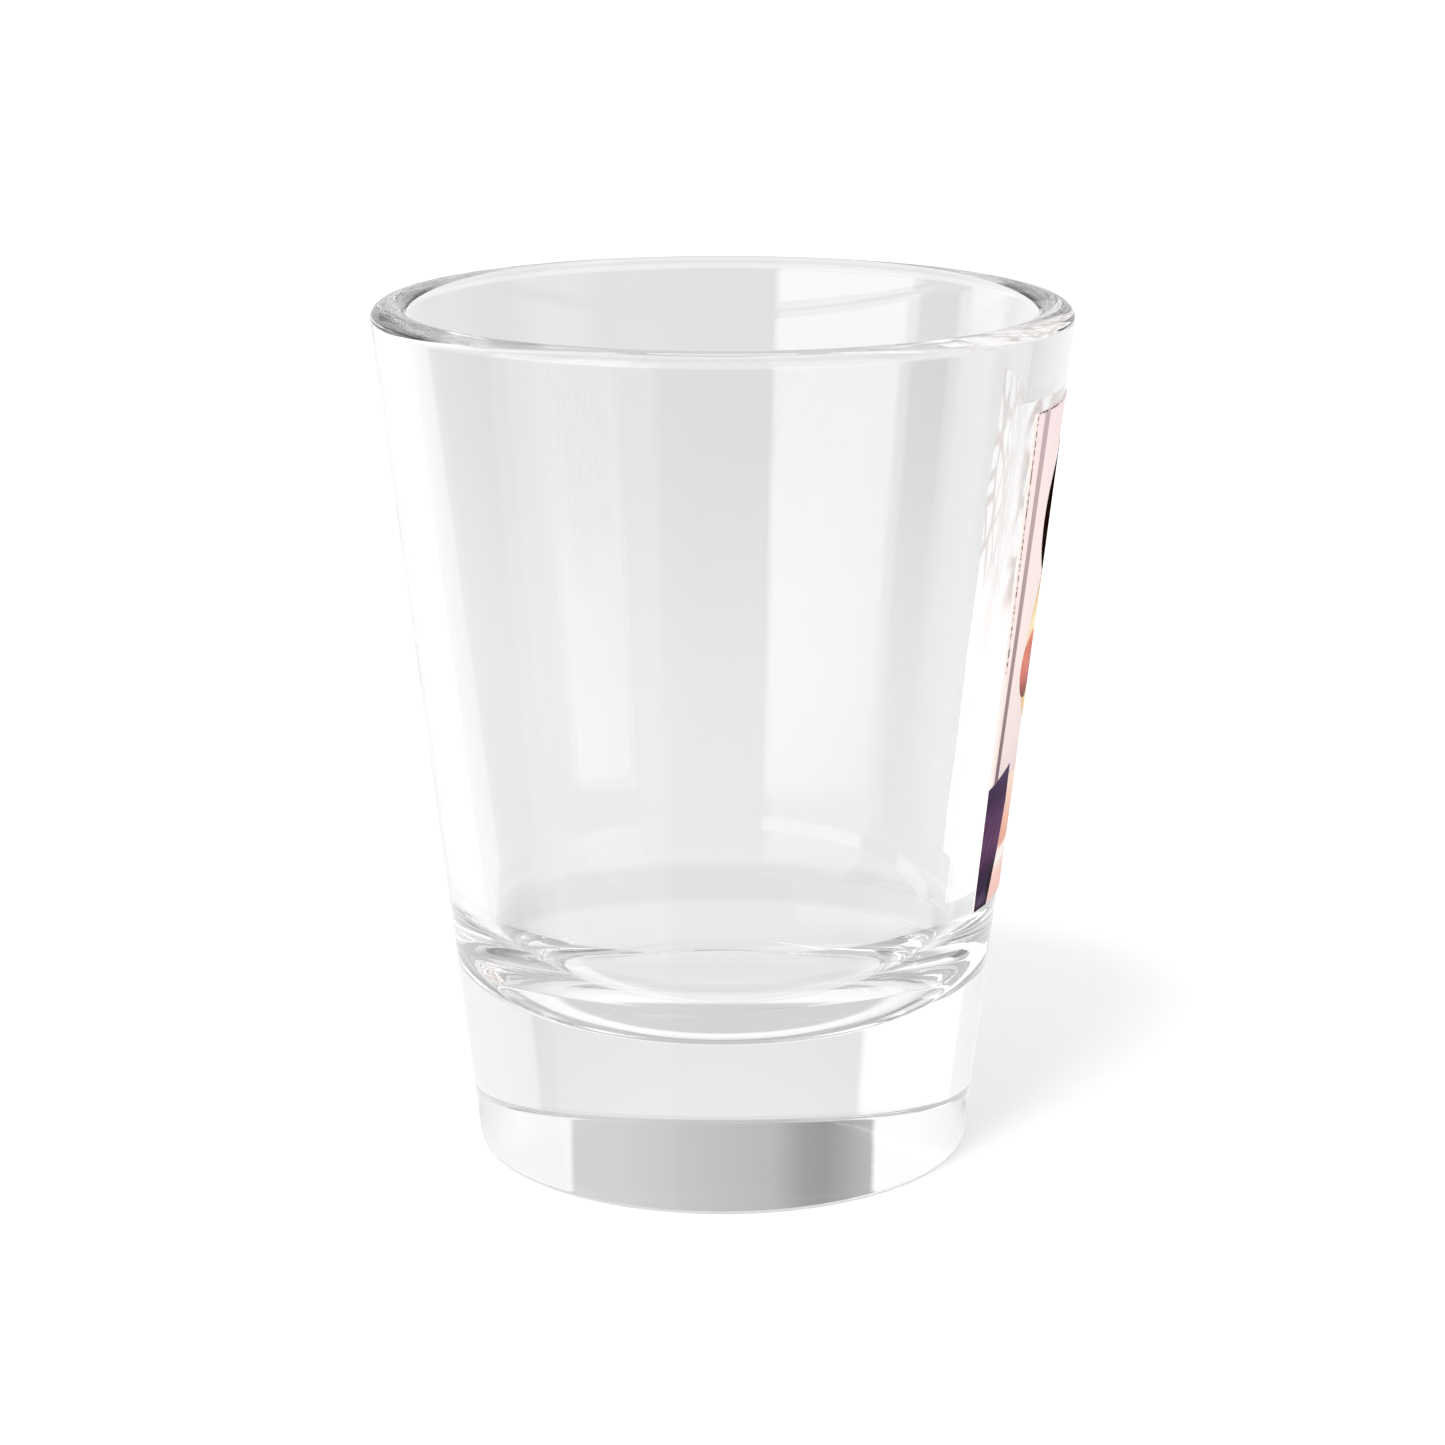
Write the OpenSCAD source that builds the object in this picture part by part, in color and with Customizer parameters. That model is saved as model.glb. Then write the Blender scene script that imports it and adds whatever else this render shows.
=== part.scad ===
// Heavy-base shot glass with a printed sunset picture on one side.
// Origin: centre of the foot, on the table. +Z runs up to the rim.
// The picture is centred on +X. All sizes are in millimetres.

/* [Glass] */
// Height from the table to the top of the rim
glass_h = 60; // [54:0.5:68]
// Outer radius where the wall meets the table
foot_r = 17.5; // [16:0.1:19]
// Outer radius that the straight wall would reach at rim height
rim_r = 24.2; // [22.5:0.1:26]
// Thickness of the wall at the rim
rim_wall = 2.5; // [2:0.1:3.2]
// Thickness of the wall just above the floor of the drink space
low_wall = 2.8; // [2.4:0.1:3.6]
// Thickness of the solid glass under the drink space
base_t = 10.8; // [9:0.2:13]
// Radius of the round corner between the floor and the wall inside
floor_r = 9; // [6:0.5:10]
// Radius of the round shoulders of the rim
lip_r = 0.9; // [0.5:0.05:1]
// Bevel at the edge of the foot
heel = 0.4; // [0.2:0.1:0.8]

/* [Print] */
// Half of the angle that the picture wraps round the glass
print_half = 22.5; // [19:0.5:26]
// Height of the picture's lower edge above the table
print_z = 19; // [17:0.5:21]
// Height of the picture
print_h = 35; // [33:0.5:36]
// Thickness of one film of ink
film = 0.03; // [0.02:0.01:0.06]

/* [Picture] */
// Radius of the setting sun
sun_r = 2.4; // [2:0.1:3]
// Radius of the glow behind the sun
glow_r = 5.2; // [4.6:0.1:5.6]
// Radius of the largest clump of the tree's crown
crown_r = 4.2; // [3.6:0.1:4.5]
// Thickness of a twig at its thick end
twig_w = 0.55; // [0.4:0.05:0.7]

/* [Hidden] */
$fn = 96;

// The outer wall is one straight cone
wall_slope = (rim_r - foot_r) / glass_h;
wall_angle = atan(wall_slope);
function outer_r(z) = foot_r + wall_slope * z;

// The inner wall is a cone of its own, so that the wall thins towards the rim
low_r = outer_r(base_t) - low_wall;
inner_slope = (rim_r - rim_wall - low_r) / (glass_h - base_t);
inner_angle = atan(inner_slope);
function inner_r(z) = low_r + inner_slope * (z - base_t);

// Radial places of the films, from the glass outwards
sky_in = film;
ink_in = 2 * film;
ink_out = 3 * film;

// Places in the picture: across it from its middle, and up from the table
print_top = print_z + print_h;
bleed = 12;
sun_at = [-2.3, 35.5];
glow_at = [1, 36.2];
crown_at = [0.5, 45.8];
horizon_z = 28;
surf_top = 22.6;
surf_low = 21.5;
trunk_low_z = 20.6;
post_at = -6.9;
post_top_w = 0.9;
post_foot_w = 0.45;
line_w = 0.12;
line_inset = 0.3;
line_low_z = 36;
line_right = 4;

// Profile of the whole glass without its drink space
module outer_profile() {
    lip_x = rim_r - wall_slope * lip_r - lip_r / cos(wall_angle);
    lip_z = glass_h - lip_r;
    touch = [lip_x + lip_r * cos(wall_angle), lip_z - lip_r * sin(wall_angle)];
    polygon([[0, 0], [foot_r - heel, 0], [outer_r(heel), heel], touch,
             [lip_x, lip_z], [lip_x, glass_h], [0, glass_h]]);
    translate([lip_x, lip_z]) circle(r = lip_r);
}

// Profile of the drink space, which widens again over the rim's inner shoulder
module inner_profile() {
    corner_x = inner_r(base_t + floor_r) - floor_r / cos(inner_angle);
    corner_z = base_t + floor_r;
    touch = [corner_x + floor_r * cos(inner_angle), corner_z - floor_r * sin(inner_angle)];
    polygon([[0, base_t], [corner_x, base_t], [corner_x, corner_z], touch,
             [inner_r(glass_h + 1), glass_h + 1], [0, glass_h + 1]]);
    translate([corner_x, corner_z]) circle(r = floor_r);
}

// Sharp ring that the rim's inner shoulder loses
module inner_shoulder() {
    lip_x = inner_r(glass_h - lip_r) + lip_r / cos(inner_angle);
    lip_z = glass_h - lip_r;
    difference() {
        translate([inner_r(lip_z) - 1, lip_z]) square([1 + lip_x - inner_r(lip_z), lip_r + 1]);
        translate([lip_x, lip_z]) circle(r = lip_r);
    }
}

module glass_body() {
    color([0.93, 0.96, 0.96, 0.35])
        rotate_extrude() difference() {
            outer_profile();
            inner_profile();
            inner_shoulder();
        }
}

// Film on the wall between two radial offsets, over the whole picture
module film_sector(inside, outside) {
    low = outer_r(print_z);
    high = outer_r(print_top);
    rotate_extrude(angle = 2 * print_half, start = -print_half)
        polygon([[low + inside, print_z], [low + outside, print_z],
                 [high + outside, print_top], [high + inside, print_top]]);
}

// Ink only where an outline, drawn as seen from +X, lies over the picture
module ink_shape() {
    intersection() {
        film_sector(ink_in, ink_out);
        rotate([90, 0, 90]) linear_extrude(rim_r + 5) children();
    }
}

module disc(at, r) {
    translate(at) circle(r = r);
}

// Tree: a clumped crown on a leaning trunk that stands in the sand
module tree_outline() {
    disc(crown_at, crown_r);
    disc(crown_at + [1.8, 2], crown_r * 0.8);
    disc(crown_at + [2.4, -2.4], crown_r * 0.85);
    polygon([[3, 45], [4.4, 45], [4, 34], [4.6, trunk_low_z], [2.6, trunk_low_z], [2.9, 34]]);
}

module sun_outline() {
    disc(sun_at, sun_r);
}

module headland_outline() {
    polygon([[-bleed, print_z], [-bleed, 26.4], [-7.9, 27.8], [-6.5, 28.2], [-4.2, 28.8],
             [-4, 26.1], [-4.6, surf_top], [-4.9, surf_low], [-5.5, print_z]]);
}

// One twig: a long thin wedge from its root to its tip
module twig(root, tip, width) {
    along = (tip - root) / norm(tip - root);
    side = [-along[1], along[0]] * width / 2;
    polygon([root - side, root + side, tip + side * 0.3, tip - side * 0.3]);
}

module twigs_outline() {
    twig([4.4, 48.6], [8.7, 52.8], twig_w * 1.3);
    twig([4.9, 46.8], [8.5, 47.4], twig_w * 1.2);
    twig([4.2, 44.4], [8.2, 39.6], twig_w);
    twig([6.6, 47.1], [7.9, 50.2], twig_w * 0.8);
    twig([5.4, 43], [8.3, 44.6], twig_w * 0.8);
    twig([6.6, 41.5], [6.4, 38.6], twig_w * 0.8);
}

// Blossom: small discs along the twigs
module blossom_outline() {
    for (at = [[6.6, 52.6], [7.4, 45.8], [6, 44.6], [7.4, 41.8], [5.9, 37.4], [7, 36.2]])
        disc(at, 0.9);
}

module white_underbase() {
    color("white") film_sector(0, sky_in);
}

module sky_ink() {
    color([0.98, 0.92, 0.92]) film_sector(sky_in, ink_in);
}

module glow_ink() {
    color([0.99, 0.83, 0.60]) ink_shape() difference() {
        disc(glow_at, glow_r);
        sun_outline();
        tree_outline();
        blossom_outline();
    }
}

module sun_ink() {
    color([0.90, 0.42, 0.33]) ink_shape() sun_outline();
}

module headland_ink() {
    color([0.40, 0.27, 0.39]) ink_shape() headland_outline();
}

module sea_ink() {
    color([0.97, 0.80, 0.73]) ink_shape() difference() {
        polygon([[-6, surf_top], [bleed, surf_top], [bleed, horizon_z], [-6, horizon_z]]);
        headland_outline();
        tree_outline();
    }
}

module sand_ink() {
    color([0.96, 0.78, 0.74]) ink_shape() difference() {
        polygon([[-6, print_z - 1], [bleed, print_z - 1], [bleed, surf_low], [-6, surf_low]]);
        headland_outline();
        tree_outline();
    }
}

module tree_ink() {
    color([0.13, 0.08, 0.08]) ink_shape() difference() {
        tree_outline();
        blossom_outline();
    }
}

module twig_ink() {
    color([0.62, 0.58, 0.62]) ink_shape() difference() {
        twigs_outline();
        tree_outline();
        blossom_outline();
    }
}

module blossom_ink() {
    color([0.96, 0.78, 0.80]) ink_shape() blossom_outline();
}

// Slender post beside the view, thinner towards the headland that it stands on
module post_ink() {
    color([0.70, 0.60, 0.60]) ink_shape() difference() {
        polygon([[post_at - post_top_w / 2, print_top - line_w], [post_at + post_top_w / 2, print_top - line_w],
                 [post_at + post_foot_w / 2, horizon_z - 2], [post_at - post_foot_w / 2, horizon_z - 2]]);
        headland_outline();
    }
}

// Half of the picture's width at one height, as seen from +X
function half_w(z) = outer_r(z) * sin(print_half);

// Hairline down the upper part of the left side, and along the top as far as the twigs
module outline_ink() {
    left_top = line_inset - half_w(print_top);
    left_low = line_inset - half_w(line_low_z);
    color([0.45, 0.38, 0.37]) ink_shape()
        polygon([[left_top, print_top + 1], [left_low, line_low_z], [left_low + line_w, line_low_z],
                 [left_top + line_w, print_top - line_w], [line_right, print_top - line_w],
                 [line_right, print_top + 1]]);
}

glass_body();
white_underbase();
sky_ink();
glow_ink();
sun_ink();
headland_ink();
sea_ink();
sand_ink();
tree_ink();
twig_ink();
blossom_ink();
post_ink();
outline_ink();
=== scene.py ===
"""Shot glass: pressed clear glass on a pale studio floor, with a printed sunset picture on its +X side."""

import math

import bmesh
import bpy
from mathutils import Matrix, Vector


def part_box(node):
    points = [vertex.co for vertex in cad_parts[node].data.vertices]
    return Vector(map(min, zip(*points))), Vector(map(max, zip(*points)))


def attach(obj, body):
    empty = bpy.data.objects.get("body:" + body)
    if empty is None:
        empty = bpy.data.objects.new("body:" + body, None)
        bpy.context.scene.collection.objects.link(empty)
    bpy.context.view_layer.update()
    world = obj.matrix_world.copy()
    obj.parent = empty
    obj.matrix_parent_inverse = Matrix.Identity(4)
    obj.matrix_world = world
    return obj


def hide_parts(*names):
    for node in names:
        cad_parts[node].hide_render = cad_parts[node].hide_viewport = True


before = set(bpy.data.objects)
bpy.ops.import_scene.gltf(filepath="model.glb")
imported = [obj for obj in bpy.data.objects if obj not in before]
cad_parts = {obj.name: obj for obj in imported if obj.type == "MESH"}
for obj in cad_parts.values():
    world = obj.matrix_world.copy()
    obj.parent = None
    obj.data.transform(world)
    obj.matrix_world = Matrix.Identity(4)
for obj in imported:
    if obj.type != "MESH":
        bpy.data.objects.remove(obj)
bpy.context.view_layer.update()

MM = 0.001

# The glass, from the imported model: the foot is on the floor and the wall is one straight cone
glass_low, glass_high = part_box("glass_body")
HEIGHT = glass_high.z
FOOT_R = 17.5 * MM
RIM_R = 24.2 * MM
SLOPE = (RIM_R - FOOT_R) / HEIGHT
RIM_WALL = 2.5 * MM
LOW_WALL = 2.8 * MM
BASE_T = 10.8 * MM
# Rounding of the drink space's floor into its wall, and of the foot's edge
FLOOR_R = 9.0 * MM
HEEL = 0.4 * MM
# Half the width and half the height of the rim's oval rounding
LIP_HALF_W = 1.265 * MM
LIP_HALF_H = 0.95 * MM
# Steps round the glass, and along each stretch and rounding of its profile
TURNS = 256
WALL_STEPS = 60
LIP_STEPS = 40
CORNER_STEPS = 28
HEEL_STEPS = 8
FOOT_STEPS = 12
FLOOR_STEPS = 16
# Points of the glass nearer to each other than this are one point
GLASS_MERGE = 0.0002 * MM
# Two faces that meet at more than this angle have a crisp edge between them
CRISP = math.radians(50.0)
GLASS_IOR = 1.5
# Height of the faint waves that the mould leaves on the glass, their width in millimetres, and how much
# closer they lie upwards than across: under 1 draws them out
WAVES = 0.012 * MM
WAVE_SIZE = 5.0
WAVE_DRAW = 0.45

# The print: films of this thickness, each reaching a little into what is under it, so that no gap is left
FILM = 0.03 * MM
BOND = 0.006 * MM
# Angle between the cuts that let a film follow the round wall, and how many are on each side of the middle
CUT = math.radians(1.5)
CUTS = 15
# Points of a film nearer to each other than this are one point, and so are points this near to a cut
FILM_MERGE = 0.001 * MM
CUT_MERGE = 0.0001 * MM
# Cosine between a face and straight outwards, under which the face isn't the film's outer one
OUTWARD = 0.5
# The picture's lowest and highest places, in millimetres above the table
PRINT_LOW = 19.0
PRINT_HIGH = 54.0
# Angle round the wall, in degrees, where the cream margin at the left ends
MARGIN_ANGLE = -21.1
# Brightness of white ink in the studio's light
INK_LIGHT = 1.13
# Sizes in millimetres of an ink's soft patches and fine dots, and the height and strength of its relief
MOTTLE_SIZE = 2.4
DOT_SIZE = 0.16
RELIEF = 0.004 * MM
RELIEF_STRENGTH = 0.15

# The camera: its lens and sensor in millimetres, how far back and up it stands, and how many degrees it
# looks down
LENS = 92.99
SENSOR = 36.0
CAMERA_BACK = 254.717 * MM
CAMERA_UP = 96.2233 * MM
CAMERA_DOWN = 14.562
# The nearest and farthest that it sees
CLIP_NEAR = 0.01
CLIP_FAR = 20.0
# Turn of the camera and the studio round the glass, in degrees
VIEW_TURN = 6.1

# The floor: half its side, how far it lies below the foot, and how white it is
FLOOR_HALF = 2.5
FLOOR_GAP = 0.02 * MM
FLOOR_WHITE = 0.835

# The key light: its width in degrees, its strength, and its place as azimuth and elevation in degrees
KEY_WIDTH = 22.0
KEY_LIGHT = 1.6
KEY_FROM = (-25.0, 57.0)

# The studio round the glass, as azimuth in degrees from the camera's side towards +X, and light.
# Level with the glass: a long lamp at the front left, a second one behind it, and dark boards between them.
LEVEL = (
    (-180, 0.75), (-155, 0.9), (-140, 1.2), (-136, 2.2), (-106, 2.2), (-103, 0.1),
    (-78.5, 0.1), (-76, 2.9), (-20.6, 2.9), (-20, 0.32), (12, 0.34), (30, 0.5),
    (47, 0.45), (56, 0.9), (76, 0.9), (88, 0.45), (104, 0.45), (118, 0.85), (160, 0.7), (180, 0.75),
)
# Below it, as the outside of the wall mirrors it: the same lamp's lower end, and a pale floor behind
BELOW = (
    (-180, 1.0), (-150, 1.05), (-135, 1.05), (-123, 0.85), (-107, 0.6), (-92, 0.4),
    (-84, 0.4), (-80, 1.2), (-24, 1.05), (-22, 0.35), (50, 0.35), (62, 0.12),
    (88, 0.12), (100, 0.5), (140, 0.8), (180, 1.0),
)
# Steeply below it: only the last of the lamp, and the pale floor behind
DEEP = (
    (-180, 1.05), (-120, 1.0), (-96, 0.45), (-84, 0.4), (-80, 0.75), (-24, 0.65), (-22, 0.4),
    (60, 0.3), (100, 0.6), (140, 1.0), (180, 1.05),
)
# High up, from 0 to 360: behind the glass a grey board, which the solid base mirrors, with white wall on
# both sides of it, and at the left the top of the lamp
HIGH = (
    (0, 0.5), (95, 0.55), (107, 0.95), (140, 1.0), (152.8, 0.97), (153.2, 0.66), (163, 0.65),
    (176, 0.57), (188, 0.50), (193, 0.36), (197, 0.33), (202, 0.42), (206.8, 0.50), (207.2, 1.05),
    (255, 1.05), (265, 0.55), (279, 0.55), (281, 1.6), (335, 1.6), (337, 0.5), (360, 0.5),
)
CEILING = 0.6
# Under the glass, where the table gets less light
UNDERFOOT = 0.68
# Straight through the glass: a pale wall and paler ground, with brighter places to both sides of them
BEYOND = (
    (-180, 0.0), (-163, 0.0), (-158, 1.0), (-95, 1.0), (-60, 0.0), (60, 0.0),
    (100, 0.95), (146, 0.93), (156, 0.0), (180, 0.0),
)
BEYOND_HIGH = 0.79
BEYOND_LOW = 0.895
# The shaded ground round the foot, as it shows through the base
FOOTPRINT = 0.82
# Heights in degrees above level between which one part of the studio gives way to the next. The high ring
# has a plain lower edge.
TO_BELOW = (2.0, -8.0)
TO_DEEP = (-16.0, -32.0)
HIGH_FROM = 10.0
TO_CEILING = (32.0, 45.0)
TO_UNDERFOOT = (-38.0, -46.0)
TO_BEYOND_LOW = (-9.5, -15.5)
FOOTPRINT_TOP = (-27.0, -31.0)
FOOTPRINT_END = (-43.0, -39.0)
# Light mirrored more often than this is evened out by this much, towards this level
OFTEN = 3.5
EVENING = 0.3
EVEN_LIGHT = 0.45
# Even light on the floor and the inks, and the same for what is seen or lit through the glass
AMBIENT = 1.11
AMBIENT_THROUGH_GLASS = 1.9
# The brightest light that a ring can hold
LIGHT_MAX = 4.0

# Light can turn back this many times inside solid glass
BOUNCES = 64


def outer_r(z):
    return FOOT_R + SLOPE * z


LOW_R = outer_r(BASE_T) - LOW_WALL
INNER_SLOPE = (RIM_R - RIM_WALL - LOW_R) / (HEIGHT - BASE_T)


def inner_r(z):
    return LOW_R + INNER_SLOPE * (z - BASE_T)


def grey(level):
    return (level, level, level, 1.0)


WHITE = grey(1.0)
# Painted light: how the white film's own glow, though the film is no lamp, fades towards the picture's top
PAINTED_GLOW_STOPS = ((19, WHITE), (36, WHITE), (41, grey(0.68)), (47, grey(0.6)), (54, grey(0.3)))


# ---------------------------------------------------------------- nodes


def new_material(name):
    mat = bpy.data.materials.new(name)
    mat.use_nodes = True
    mat.node_tree.nodes.clear()
    return mat, mat.node_tree


def add_node(tree, kind, **settings):
    node = tree.nodes.new(kind)
    for key, value in settings.items():
        setattr(node, key, value)
    return node


def show_surface(tree, shader, kind="ShaderNodeOutputMaterial"):
    out = add_node(tree, kind)
    tree.links.new(shader.outputs[0], out.inputs["Surface"])


def link_value(tree, value, socket):
    """Joins an output, or sets a plain number or colour, on an input."""
    if isinstance(value, (int, float, tuple)):
        socket.default_value = value
    else:
        tree.links.new(value, socket)


def math_node(tree, operation, a, b=0.0, c=0.0):
    node = add_node(tree, "ShaderNodeMath", operation=operation)
    for socket, value in zip(node.inputs, (a, b, c)):
        link_value(tree, value, socket)
    return node.outputs[0]


def mix_colour(tree, factor, a, b, blend="MIX"):
    node = add_node(tree, "ShaderNodeMix", data_type="RGBA", blend_type=blend)
    link_value(tree, factor, node.inputs["Factor"])
    link_value(tree, a, node.inputs[6])
    link_value(tree, b, node.inputs[7])
    return node.outputs[2]


def choose(tree, test, yes, no):
    """One number where a test is 1, and another where it is 0."""
    a = math_node(tree, "MULTIPLY", test, yes)
    b = math_node(tree, "MULTIPLY", math_node(tree, "SUBTRACT", 1.0, test), no)
    return math_node(tree, "ADD", a, b)


def soft_step(tree, value, low, high):
    """From 0 at low to 1 at high, smoothly."""
    node = add_node(tree, "ShaderNodeMapRange", interpolation_type="SMOOTHSTEP")
    link_value(tree, value, node.inputs["Value"])
    node.inputs["From Min"].default_value = low
    node.inputs["From Max"].default_value = high
    return node.outputs["Result"]


def noise(tree, vector, size, detail=2.0):
    """Soft random pattern about 0.5, with patches of about that size in millimetres."""
    node = add_node(tree, "ShaderNodeTexNoise")
    tree.links.new(vector, node.inputs["Vector"])
    node.inputs["Scale"].default_value = 1000.0 / size
    node.inputs["Detail"].default_value = detail
    return node.outputs[0]


def bump(tree, height, distance, strength=1.0):
    node = add_node(tree, "ShaderNodeBump")
    node.inputs["Strength"].default_value = strength
    node.inputs["Distance"].default_value = distance
    tree.links.new(height, node.inputs["Height"])
    return node.outputs[0]


def colour_ramp(tree, place, stops):
    """Colours along a value from 0 to 1, each given with its own place."""
    ramp = add_node(tree, "ShaderNodeValToRGB")
    tree.links.new(place, ramp.inputs[0])
    elements = ramp.color_ramp.elements
    elements.remove(elements[1])
    for index, (position, colour) in enumerate(stops):
        element = elements[0] if index == 0 else elements.new(position)
        element.position = position
        element.color = colour
    return ramp.outputs[0]


# ---------------------------------------------------------------- stage


def make_camera():
    data = bpy.data.cameras.new("camera")
    data.lens = LENS
    data.sensor_width = SENSOR
    data.clip_start = CLIP_NEAR
    data.clip_end = CLIP_FAR
    cam = bpy.data.objects.new("camera", data)
    bpy.context.scene.collection.objects.link(cam)
    turn = math.radians(VIEW_TURN)
    cam.location = Matrix.Rotation(turn, 3, "Z") @ Vector((0.0, -CAMERA_BACK, CAMERA_UP))
    cam.rotation_euler = (math.radians(90.0 - CAMERA_DOWN), 0.0, turn)
    bpy.context.scene.camera = cam


def make_floor():
    """Plain white floor. Nothing of it shows in or through the glass, where the studio shows instead."""
    bm = bmesh.new()
    bmesh.ops.create_grid(bm, x_segments=1, y_segments=1, size=FLOOR_HALF)
    bmesh.ops.translate(bm, verts=bm.verts, vec=(0.0, 0.0, -FLOOR_GAP))
    mesh = bpy.data.meshes.new("floor")
    bm.to_mesh(mesh)
    bm.free()
    floor = bpy.data.objects.new("floor", mesh)
    bpy.context.scene.collection.objects.link(floor)
    floor.visible_glossy = False
    floor.visible_transmission = False
    mat, tree = new_material("floor_white")
    white = add_node(tree, "ShaderNodeBsdfDiffuse")
    white.inputs["Color"].default_value = grey(FLOOR_WHITE)
    show_surface(tree, white)
    mesh.materials.append(mat)


def ring_of_light(tree, azimuth, stops, start=-180.0):
    """Light that depends on the direction round the glass, for azimuths that begin at start."""
    place = math_node(tree, "MULTIPLY_ADD", azimuth, 1.0 / 360.0, -start / 360.0)
    levels = [((angle - start) / 360.0, grey(light / LIGHT_MAX)) for angle, light in stops]
    return math_node(tree, "MULTIPLY", colour_ramp(tree, place, levels), LIGHT_MAX)


def mirrored_light(tree, azimuth, elevation):
    """What the glass mirrors: a ring of lamps and boards for each height, under a plain ceiling."""
    light = ring_of_light(tree, azimuth, LEVEL)
    light = choose(tree, soft_step(tree, elevation, *TO_BELOW), ring_of_light(tree, azimuth, BELOW), light)
    light = choose(tree, soft_step(tree, elevation, *TO_DEEP), ring_of_light(tree, azimuth, DEEP), light)
    around = math_node(tree, "MODULO", math_node(tree, "ADD", azimuth, 360.0), 360.0)
    raised = math_node(tree, "GREATER_THAN", elevation, HIGH_FROM)
    light = choose(tree, raised, ring_of_light(tree, around, HIGH, 0.0), light)
    light = choose(tree, soft_step(tree, elevation, *TO_CEILING), CEILING, light)
    return choose(tree, soft_step(tree, elevation, *TO_UNDERFOOT), UNDERFOOT, light)


def light_beyond(tree, azimuth, elevation):
    """What shows straight through the glass: a pale wall, and paler ground with the foot's place on it."""
    down = soft_step(tree, elevation, *TO_BEYOND_LOW)
    light = math_node(tree, "MULTIPLY_ADD", down, BEYOND_LOW - BEYOND_HIGH, BEYOND_HIGH)
    footprint = math_node(tree, "MULTIPLY", soft_step(tree, elevation, *FOOTPRINT_TOP),
                          soft_step(tree, elevation, *FOOTPRINT_END))
    light = choose(tree, footprint, FOOTPRINT, light)
    return math_node(tree, "MAXIMUM", light, ring_of_light(tree, azimuth, BEYOND))


def make_world():
    """A studio that the glass mirrors and looks through. The floor and the inks get even light from it."""
    world = bpy.data.worlds.new("studio")
    bpy.context.scene.world = world
    world.use_nodes = True
    world.cycles.sampling_method = "NONE"
    tree = world.node_tree
    tree.nodes.clear()
    turned = add_node(tree, "ShaderNodeVectorRotate", rotation_type="Z_AXIS")
    turned.inputs["Angle"].default_value = -math.radians(VIEW_TURN)
    tree.links.new(add_node(tree, "ShaderNodeTexCoord").outputs["Generated"], turned.inputs["Vector"])
    parts = add_node(tree, "ShaderNodeSeparateXYZ")
    tree.links.new(turned.outputs[0], parts.inputs[0])
    x, y, z = parts.outputs
    azimuth = math_node(tree, "ARCTAN2", x, math_node(tree, "MULTIPLY", y, -1.0))
    azimuth = math_node(tree, "DEGREES", azimuth)
    elevation = math_node(tree, "DEGREES", math_node(tree, "ARCSINE", z))

    path = add_node(tree, "ShaderNodeLightPath")
    glossy = math_node(tree, "GREATER_THAN", path.outputs["Glossy Depth"], 0.5)
    diffuse = math_node(tree, "GREATER_THAN", path.outputs["Diffuse Depth"], 0.5)
    through = math_node(tree, "GREATER_THAN", path.outputs["Transmission Depth"], 0.5)
    often = math_node(tree, "GREATER_THAN", path.outputs["Glossy Depth"], OFTEN)
    mirrored = mirrored_light(tree, azimuth, elevation)
    mirrored = choose(tree, math_node(tree, "MULTIPLY", often, EVENING), EVEN_LIGHT, mirrored)
    light = choose(tree, glossy, mirrored, light_beyond(tree, azimuth, elevation))
    light = choose(tree, diffuse, choose(tree, through, AMBIENT_THROUGH_GLASS, AMBIENT), light)
    back = add_node(tree, "ShaderNodeBackground")
    back.inputs["Color"].default_value = WHITE
    tree.links.new(light, back.inputs["Strength"])
    show_surface(tree, back, "ShaderNodeOutputWorld")


def make_key_light():
    """One wide soft light from the front left and above. The glass's faint shadow comes from it."""
    data = bpy.data.lights.new("key", "SUN")
    data.angle = math.radians(KEY_WIDTH)
    data.energy = KEY_LIGHT
    key = bpy.data.objects.new("key", data)
    bpy.context.scene.collection.objects.link(key)
    azimuth, elevation = (math.radians(a) for a in KEY_FROM)
    spot = Vector((math.sin(azimuth) * math.cos(elevation), -math.cos(azimuth) * math.cos(elevation),
                   math.sin(elevation)))
    key.rotation_euler = (-spot).to_track_quat("-Z", "Y").to_euler()
    key.visible_camera = False
    key.visible_glossy = False
    key.visible_transmission = False


# ---------------------------------------------------------------- glass


def arc(centre_r, centre_z, half_w, half_h, start, end, steps):
    """Points of an elliptical arc in the profile, from one angle to another."""
    points = []
    for i in range(steps + 1):
        angle = math.radians(start + (end - start) * i / steps)
        points.append((centre_r + half_w * math.cos(angle), centre_z + half_h * math.sin(angle)))
    return points


def stretch(a, b, steps):
    """Points between two ends, closer together near both ends, without the ends."""
    points = []
    for i in range(1, steps):
        t = 0.5 - 0.5 * math.cos(math.pi * i / steps)
        points.append((a[0] + (b[0] - a[0]) * t, a[1] + (b[1] - a[1]) * t))
    return points


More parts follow.
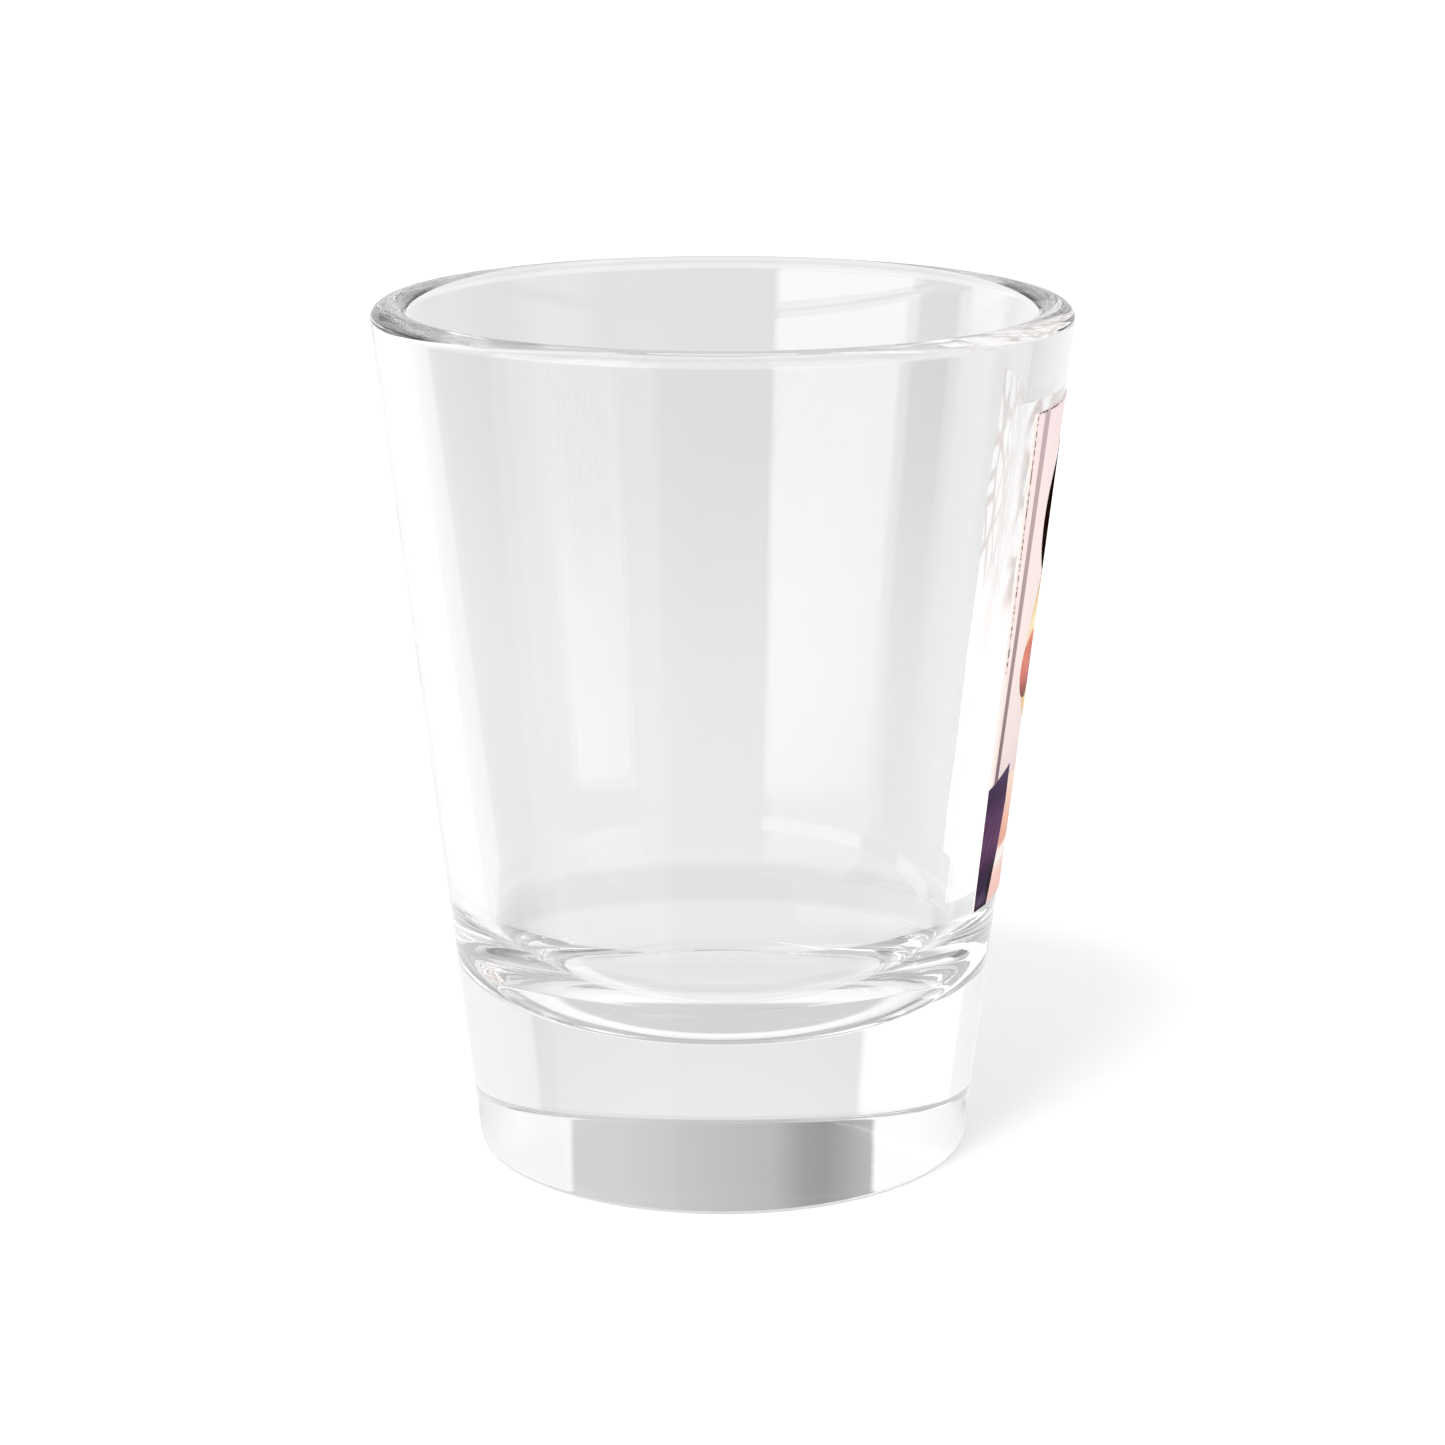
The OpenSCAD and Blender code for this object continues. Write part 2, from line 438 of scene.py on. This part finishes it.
def glass_profile():
    """Half a section, from the foot's centre up the outside, over the rim and down to the inner floor."""
    tilt = math.degrees(math.atan(SLOPE))
    inner_tilt = math.degrees(math.atan(INNER_SLOPE))
    lip_z = HEIGHT - LIP_HALF_H
    lip_r = outer_r(lip_z) - LIP_HALF_W
    lip = arc(lip_r, lip_z, LIP_HALF_W, LIP_HALF_H, -tilt, 180.0 - inner_tilt, LIP_STEPS)
    corner_z = BASE_T + FLOOR_R
    corner_r = inner_r(corner_z) - FLOOR_R / math.cos(math.radians(inner_tilt))
    corner = arc(corner_r, corner_z, FLOOR_R, FLOOR_R, -inner_tilt, -90.0, CORNER_STEPS)
    heel = arc(FOOT_R - HEEL, HEEL, HEEL, HEEL, -90.0, -tilt, HEEL_STEPS)
    points = [(0.0, 0.0)]
    points += stretch(points[-1], heel[0], FOOT_STEPS) + heel
    points += stretch(heel[-1], lip[0], WALL_STEPS) + lip
    points += stretch(lip[-1], corner[0], WALL_STEPS) + corner
    points += stretch(corner[-1], (0.0, BASE_T), FLOOR_STEPS) + [(0.0, BASE_T)]
    return points


def shade_smooth(mesh):
    """Smooth shading, with crisp edges where two faces meet sharply."""
    for face in mesh.polygons:
        face.use_smooth = True
    bm = bmesh.new()
    bm.from_mesh(mesh)
    for edge in bm.edges:
        if len(edge.link_faces) == 2 and edge.calc_face_angle() > CRISP:
            edge.smooth = False
    bm.to_mesh(mesh)
    bm.free()


def clear_glass():
    """Clear pressed glass, with the faint waves of its mould."""
    mat, tree = new_material("clear_glass")
    shader = add_node(tree, "ShaderNodeBsdfPrincipled")
    shader.inputs["Base Color"].default_value = WHITE
    shader.inputs["Roughness"].default_value = 0.0
    shader.inputs["IOR"].default_value = GLASS_IOR
    shader.inputs["Transmission Weight"].default_value = 1.0
    drawn_out = add_node(tree, "ShaderNodeMapping")
    drawn_out.inputs["Scale"].default_value = (1.0, 1.0, WAVE_DRAW)
    tree.links.new(add_node(tree, "ShaderNodeTexCoord").outputs["Object"], drawn_out.inputs["Vector"])
    waves = bump(tree, noise(tree, drawn_out.outputs[0], WAVE_SIZE), WAVES)
    tree.links.new(waves, shader.inputs["Normal"])
    show_surface(tree, shader)
    return mat


def make_glass():
    """The whole glass: its profile turned once round."""
    bm = bmesh.new()
    verts = [bm.verts.new((r, 0.0, z)) for r, z in glass_profile()]
    edges = [bm.edges.new(pair) for pair in zip(verts, verts[1:])]
    bmesh.ops.spin(bm, geom=verts + edges, cent=(0, 0, 0), axis=(0, 0, 1), dvec=(0, 0, 0),
                   angle=2 * math.pi, steps=TURNS, use_merge=True)
    bmesh.ops.remove_doubles(bm, verts=bm.verts, dist=GLASS_MERGE)
    bmesh.ops.recalc_face_normals(bm, faces=bm.faces)
    mesh = bpy.data.meshes.new("glass")
    bm.to_mesh(mesh)
    bm.free()
    shade_smooth(mesh)
    glass = bpy.data.objects.new("glass", mesh)
    bpy.context.scene.collection.objects.link(glass)
    mesh.materials.append(clear_glass())
    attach(glass, "root")
    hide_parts("glass_body")


# ---------------------------------------------------------------- print


def make_film(name, level, mat):
    """A film of ink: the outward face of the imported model's shape, cut finely, laid exactly on the wall at
    its level and thickened."""
    outside = (level + 1) * FILM
    bm = bmesh.new()
    bm.from_mesh(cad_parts[name].data)
    bmesh.ops.remove_doubles(bm, verts=bm.verts, dist=FILM_MERGE)
    hidden = []
    for face in bm.faces:
        centre = face.calc_center_median()
        outward = Vector((centre.x, centre.y, 0.0)).normalized()
        if face.normal.dot(outward) < OUTWARD:
            hidden.append(face)
    bmesh.ops.delete(bm, geom=hidden, context="FACES")
    for i in range(-CUTS, CUTS + 1):
        angle = i * CUT
        bmesh.ops.bisect_plane(bm, geom=bm.verts[:] + bm.edges[:] + bm.faces[:], dist=CUT_MERGE,
                               plane_co=(0, 0, 0), plane_no=(-math.sin(angle), math.cos(angle), 0.0))
    for vert in bm.verts:
        flat = Vector((vert.co.x, vert.co.y, 0.0)).normalized() * (outer_r(vert.co.z) + outside)
        vert.co.x, vert.co.y = flat.x, flat.y
    bmesh.ops.solidify(bm, geom=bm.faces[:], thickness=FILM + BOND)
    mesh = bpy.data.meshes.new(name + "_film")
    bm.to_mesh(mesh)
    bm.free()
    shade_smooth(mesh)
    film = bpy.data.objects.new(name + "_film", mesh)
    bpy.context.scene.collection.objects.link(film)
    mesh.materials.append(mat)
    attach(film, "root")
    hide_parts(name)


def printed(red, green, blue):
    """Linear colour of an ink that shows as this screen colour in the studio's light."""
    levels = []
    for value in (red, green, blue):
        v = value / 255.0
        linear = v / 12.92 if v <= 0.04045 else ((v + 0.055) / 1.055) ** 2.4
        levels.append(min(1.0, linear / INK_LIGHT))
    return tuple(levels) + (1.0,)


class Place:
    """Where a point of the print is: its height, its width across, and its angle round the wall."""

    def __init__(self, tree):
        self.vector = add_node(tree, "ShaderNodeTexCoord").outputs["Object"]
        parts = add_node(tree, "ShaderNodeSeparateXYZ")
        tree.links.new(self.vector, parts.inputs[0])
        x, y, z = parts.outputs
        self.across = math_node(tree, "MULTIPLY", y, 1.0 / MM)
        self.up = math_node(tree, "MULTIPLY", z, 1.0 / MM)
        self.angle = math_node(tree, "DEGREES", math_node(tree, "ARCTAN2", y, x))


def height_ramp(tree, place, stops):
    """Colours up the picture, each at its own height in millimetres."""
    along = add_node(tree, "ShaderNodeMapRange")
    link_value(tree, place.up, along.inputs["Value"])
    along.inputs["From Min"].default_value = PRINT_LOW
    along.inputs["From Max"].default_value = PRINT_HIGH
    return colour_ramp(tree, along.outputs["Result"],
                       [((at - PRINT_LOW) / (PRINT_HIGH - PRINT_LOW), colour) for at, colour in stops])


def ink_material(name, paint, grain=0.03, gloss=0.45, sheen=0.12, show_through=0.0, glow=0.0):
    """Screen-printed ink: paint gives its colour, on top of which are faint mottling, dither and relief.
    A glow is painted light: the film gives light of its own though it is no lamp, which the white film needs
    to stay white behind glass."""
    mat, tree = new_material(name)
    place = Place(tree)
    colour = paint(tree, place)
    mottle = noise(tree, place.vector, MOTTLE_SIZE)
    dither = noise(tree, place.vector, DOT_SIZE, 1.0)
    patches = math_node(tree, "MULTIPLY_ADD", mottle, grain, 1.0 - 0.5 * grain)
    dots = math_node(tree, "MULTIPLY_ADD", dither, grain, 1.0 - 0.5 * grain)
    level = math_node(tree, "MULTIPLY", patches, dots)
    scale = add_node(tree, "ShaderNodeVectorMath", operation="SCALE")
    tree.links.new(colour, scale.inputs[0])
    tree.links.new(level, scale.inputs["Scale"])
    shader = add_node(tree, "ShaderNodeBsdfPrincipled")
    tree.links.new(scale.outputs[0], shader.inputs["Base Color"])
    rough = math_node(tree, "MULTIPLY_ADD", mottle, 0.12, gloss - 0.06)
    tree.links.new(rough, shader.inputs["Roughness"])
    shader.inputs["Specular IOR Level"].default_value = sheen
    shader.inputs["Alpha"].default_value = 1.0 - show_through
    # Painted light: the film glows by emission, though it is no lamp, fading with height
    if glow:
        painted_glow_fade = height_ramp(tree, place, PAINTED_GLOW_STOPS)
        painted_glow_colour = mix_colour(tree, 1.0, scale.outputs[0], painted_glow_fade, "MULTIPLY")
        tree.links.new(painted_glow_colour, shader.inputs["Emission Color"])
    shader.inputs["Emission Strength"].default_value = glow
    tree.links.new(bump(tree, dither, RELIEF, RELIEF_STRENGTH), shader.inputs["Normal"])
    show_surface(tree, shader)
    return mat


def by_height(*stops):
    """Paint that only changes with height."""
    def paint(tree, place):
        return height_ramp(tree, place, stops)
    return paint


def paint_sky(tree, place):
    """Pale pink, whiter over the surf, with a cream margin down the left edge and faint soft clouds."""
    sky = height_ramp(tree, place, (
        (19, printed(252, 246, 244)), (22.8, printed(252, 242, 238)), (24.5, printed(248, 226, 216)),
        (28, printed(230, 211, 214)), (30, printed(240, 220, 218)), (36, printed(249, 231, 227)),
        (45, printed(251, 231, 230)), (54, printed(247, 224, 227))))
    clouds = noise(tree, place.vector, 6.0, 3.0)
    sky = mix_colour(tree, math_node(tree, "MULTIPLY", clouds, 0.35), sky, printed(255, 238, 230))
    margin = math_node(tree, "LESS_THAN", place.angle, MARGIN_ANGLE)
    return mix_colour(tree, margin, sky, printed(255, 240, 233))


def paint_white(tree, place):
    """White, with the picture's twigs and one petal showing through it as the faintest grey and pink."""
    # Twigs: a slanted web of fine lines, in the upper part only and away from the left edge
    lines = add_node(tree, "ShaderNodeTexVoronoi", feature="DISTANCE_TO_EDGE")
    turned = add_node(tree, "ShaderNodeMapping")
    turned.inputs["Rotation"].default_value = (math.radians(28.0), 0.0, 0.0)
    turned.inputs["Scale"].default_value = (0.25, 1.0, 0.5)
    tree.links.new(place.vector, turned.inputs["Vector"])
    tree.links.new(turned.outputs[0], lines.inputs["Vector"])
    lines.inputs["Scale"].default_value = 600.0
    web = soft_step(tree, lines.outputs["Distance"], 0.17, 0.07)
    upper = soft_step(tree, place.up, 38.0, 40.5)
    right = soft_step(tree, place.angle, -16.0, -12.0)
    there = math_node(tree, "MULTIPLY", math_node(tree, "MULTIPLY", web, upper), right)
    tint = mix_colour(tree, noise(tree, place.vector, 3.0), printed(221, 229, 228), printed(247, 221, 215))
    white = mix_colour(tree, there, WHITE, tint)
    # Petal: a soft oval spot below the twigs
    rise = math_node(tree, "MULTIPLY", math_node(tree, "SUBTRACT", place.up, 36.6), 3.0)
    aside = math_node(tree, "SUBTRACT", place.angle, 6.5)
    apart = math_node(tree, "SQRT", math_node(tree, "ADD", math_node(tree, "POWER", rise, 2.0),
                                              math_node(tree, "POWER", aside, 2.0)))
    petal = math_node(tree, "MULTIPLY", soft_step(tree, apart, 7.0, 5.5), 0.6)
    return mix_colour(tree, petal, white, printed(252, 222, 220))


def paint_headland(tree, place):
    """Dusky purple, darkest low down at its right side, with thin dark folds in the rock."""
    land = height_ramp(tree, place, (
        (19, printed(30, 12, 32)), (19.5, printed(96, 74, 104)), (20.3, printed(58, 38, 70)),
        (21.6, printed(56, 34, 66)), (23.4, printed(100, 60, 98)), (25.4, printed(92, 56, 94)),
        (27, printed(66, 42, 76)), (28.8, printed(86, 62, 96))))
    shade = math_node(tree, "MULTIPLY", soft_step(tree, place.across, -6.4, -5.4),
                      soft_step(tree, place.up, 22.4, 20.6))
    land = mix_colour(tree, shade, land, printed(20, 5, 14))
    slope = math_node(tree, "MULTIPLY_ADD", place.up, -0.55, place.across)
    folds = add_node(tree, "ShaderNodeTexWave", wave_type="BANDS", bands_direction="X")
    join = add_node(tree, "ShaderNodeCombineXYZ")
    tree.links.new(slope, join.inputs[0])
    tree.links.new(math_node(tree, "MULTIPLY", place.up, 0.2), join.inputs[1])
    tree.links.new(join.outputs[0], folds.inputs["Vector"])
    folds.inputs["Scale"].default_value = 0.32
    folds.inputs["Distortion"].default_value = 2.0
    crease = math_node(tree, "MULTIPLY", soft_step(tree, folds.outputs["Fac"], 0.86, 0.98), 0.55)
    return mix_colour(tree, crease, land, printed(50, 24, 50))


def paint_sun(tree, place):
    """Pale at its top, coral across its middle and dark red at its lower rim, with a few streaks."""
    sun = height_ramp(tree, place, (
        (33.2, printed(88, 26, 24)), (33.9, printed(160, 58, 50)), (34.8, printed(212, 102, 88)),
        (36, printed(232, 128, 104)), (37, printed(224, 104, 84)), (37.9, printed(244, 160, 130))))
    streak = soft_step(tree, noise(tree, place.vector, 1.6, 3.0), 0.52, 0.66)
    return mix_colour(tree, math_node(tree, "MULTIPLY", streak, 0.4), sun, printed(170, 62, 54))


def paint_tree(tree, place):
    """Nearly black, with patches of warm brown among the leaves."""
    leaves = soft_step(tree, noise(tree, place.vector, 0.9, 4.0), 0.48, 0.70)
    leaves = math_node(tree, "MULTIPLY", leaves, 0.5)
    return mix_colour(tree, leaves, printed(22, 8, 5), printed(70, 40, 30))


def paint_outline(tree, place):
    """Brown hairline with pale gaps, as a fine line prints."""
    gaps = soft_step(tree, noise(tree, place.vector, 0.32, 1.0), 0.47, 0.55)
    return mix_colour(tree, gaps, printed(96, 74, 72), printed(232, 214, 212))


def make_print():
    """All twelve films, from the white one on the glass to the inks on top."""
    glow = by_height(
        (31, printed(250, 224, 199)), (32.4, printed(240, 200, 150)), (35.5, printed(249, 216, 150)),
        (38.4, printed(253, 236, 190)), (40, printed(242, 208, 146)), (41.4, printed(196, 150, 120)))
    twig = by_height(
        (19, printed(196, 186, 194)), (40, printed(206, 192, 196)), (54, printed(190, 180, 186)))
    blossom = by_height(
        (35, printed(250, 214, 216)), (44, printed(248, 204, 208)), (54, printed(252, 222, 222)))
    post = by_height(
        (19, printed(120, 98, 104)), (29, printed(126, 103, 109)), (35, printed(158, 132, 131)),
        (46, printed(186, 162, 164)), (54, printed(196, 173, 176)))
    sea = by_height(
        (22.6, printed(250, 222, 208)), (23, printed(232, 160, 136)), (24.6, printed(243, 186, 160)),
        (26.2, printed(250, 208, 186)), (28, printed(252, 226, 212)))
    sand = by_height(
        (19, printed(230, 200, 196)), (19.6, printed(246, 192, 182)), (20.8, printed(247, 204, 194)),
        (21.5, printed(250, 228, 220)))
    # The white ink's glow is painted light, which keeps the white film white behind glass
    white_ink = ink_material("white_ink", paint_white, grain=0.0, gloss=0.5, sheen=0.1, show_through=0.1,
                             glow=0.47)
    make_film("white_underbase", 0, white_ink)
    make_film("sky_ink", 1, ink_material("sky_pink", paint_sky, grain=0.02))
    make_film("glow_ink", 2, ink_material("glow_yellow", glow))
    make_film("sun_ink", 2, ink_material("sun_coral", paint_sun, grain=0.06))
    purple = ink_material("headland_purple", paint_headland, grain=0.10, gloss=0.55, sheen=0.03)
    make_film("headland_ink", 2, purple)
    make_film("sea_ink", 2, ink_material("sea_peach", sea, grain=0.04))
    make_film("sand_ink", 2, ink_material("sand_salmon", sand, grain=0.05))
    make_film("tree_ink", 2, ink_material("tree_black", paint_tree, grain=0.10, gloss=0.6, sheen=0.0))
    make_film("twig_ink", 2, ink_material("twig_grey", twig, grain=0.06))
    make_film("blossom_ink", 2, ink_material("blossom_pink", blossom, grain=0.04))
    make_film("post_ink", 2, ink_material("post_mauve", post, grain=0.04))
    make_film("outline_ink", 2, ink_material("outline_brown", paint_outline, grain=0.04))


def set_light_paths():
    """Enough bounces for light that turns back many times inside solid glass."""
    cycles = bpy.context.scene.cycles
    cycles.max_bounces = BOUNCES
    cycles.glossy_bounces = BOUNCES
    cycles.transmission_bounces = BOUNCES


bpy.context.scene.view_settings.view_transform = "Standard"
set_light_paths()
make_camera()
make_floor()
make_world()
make_key_light()
make_glass()
make_print()
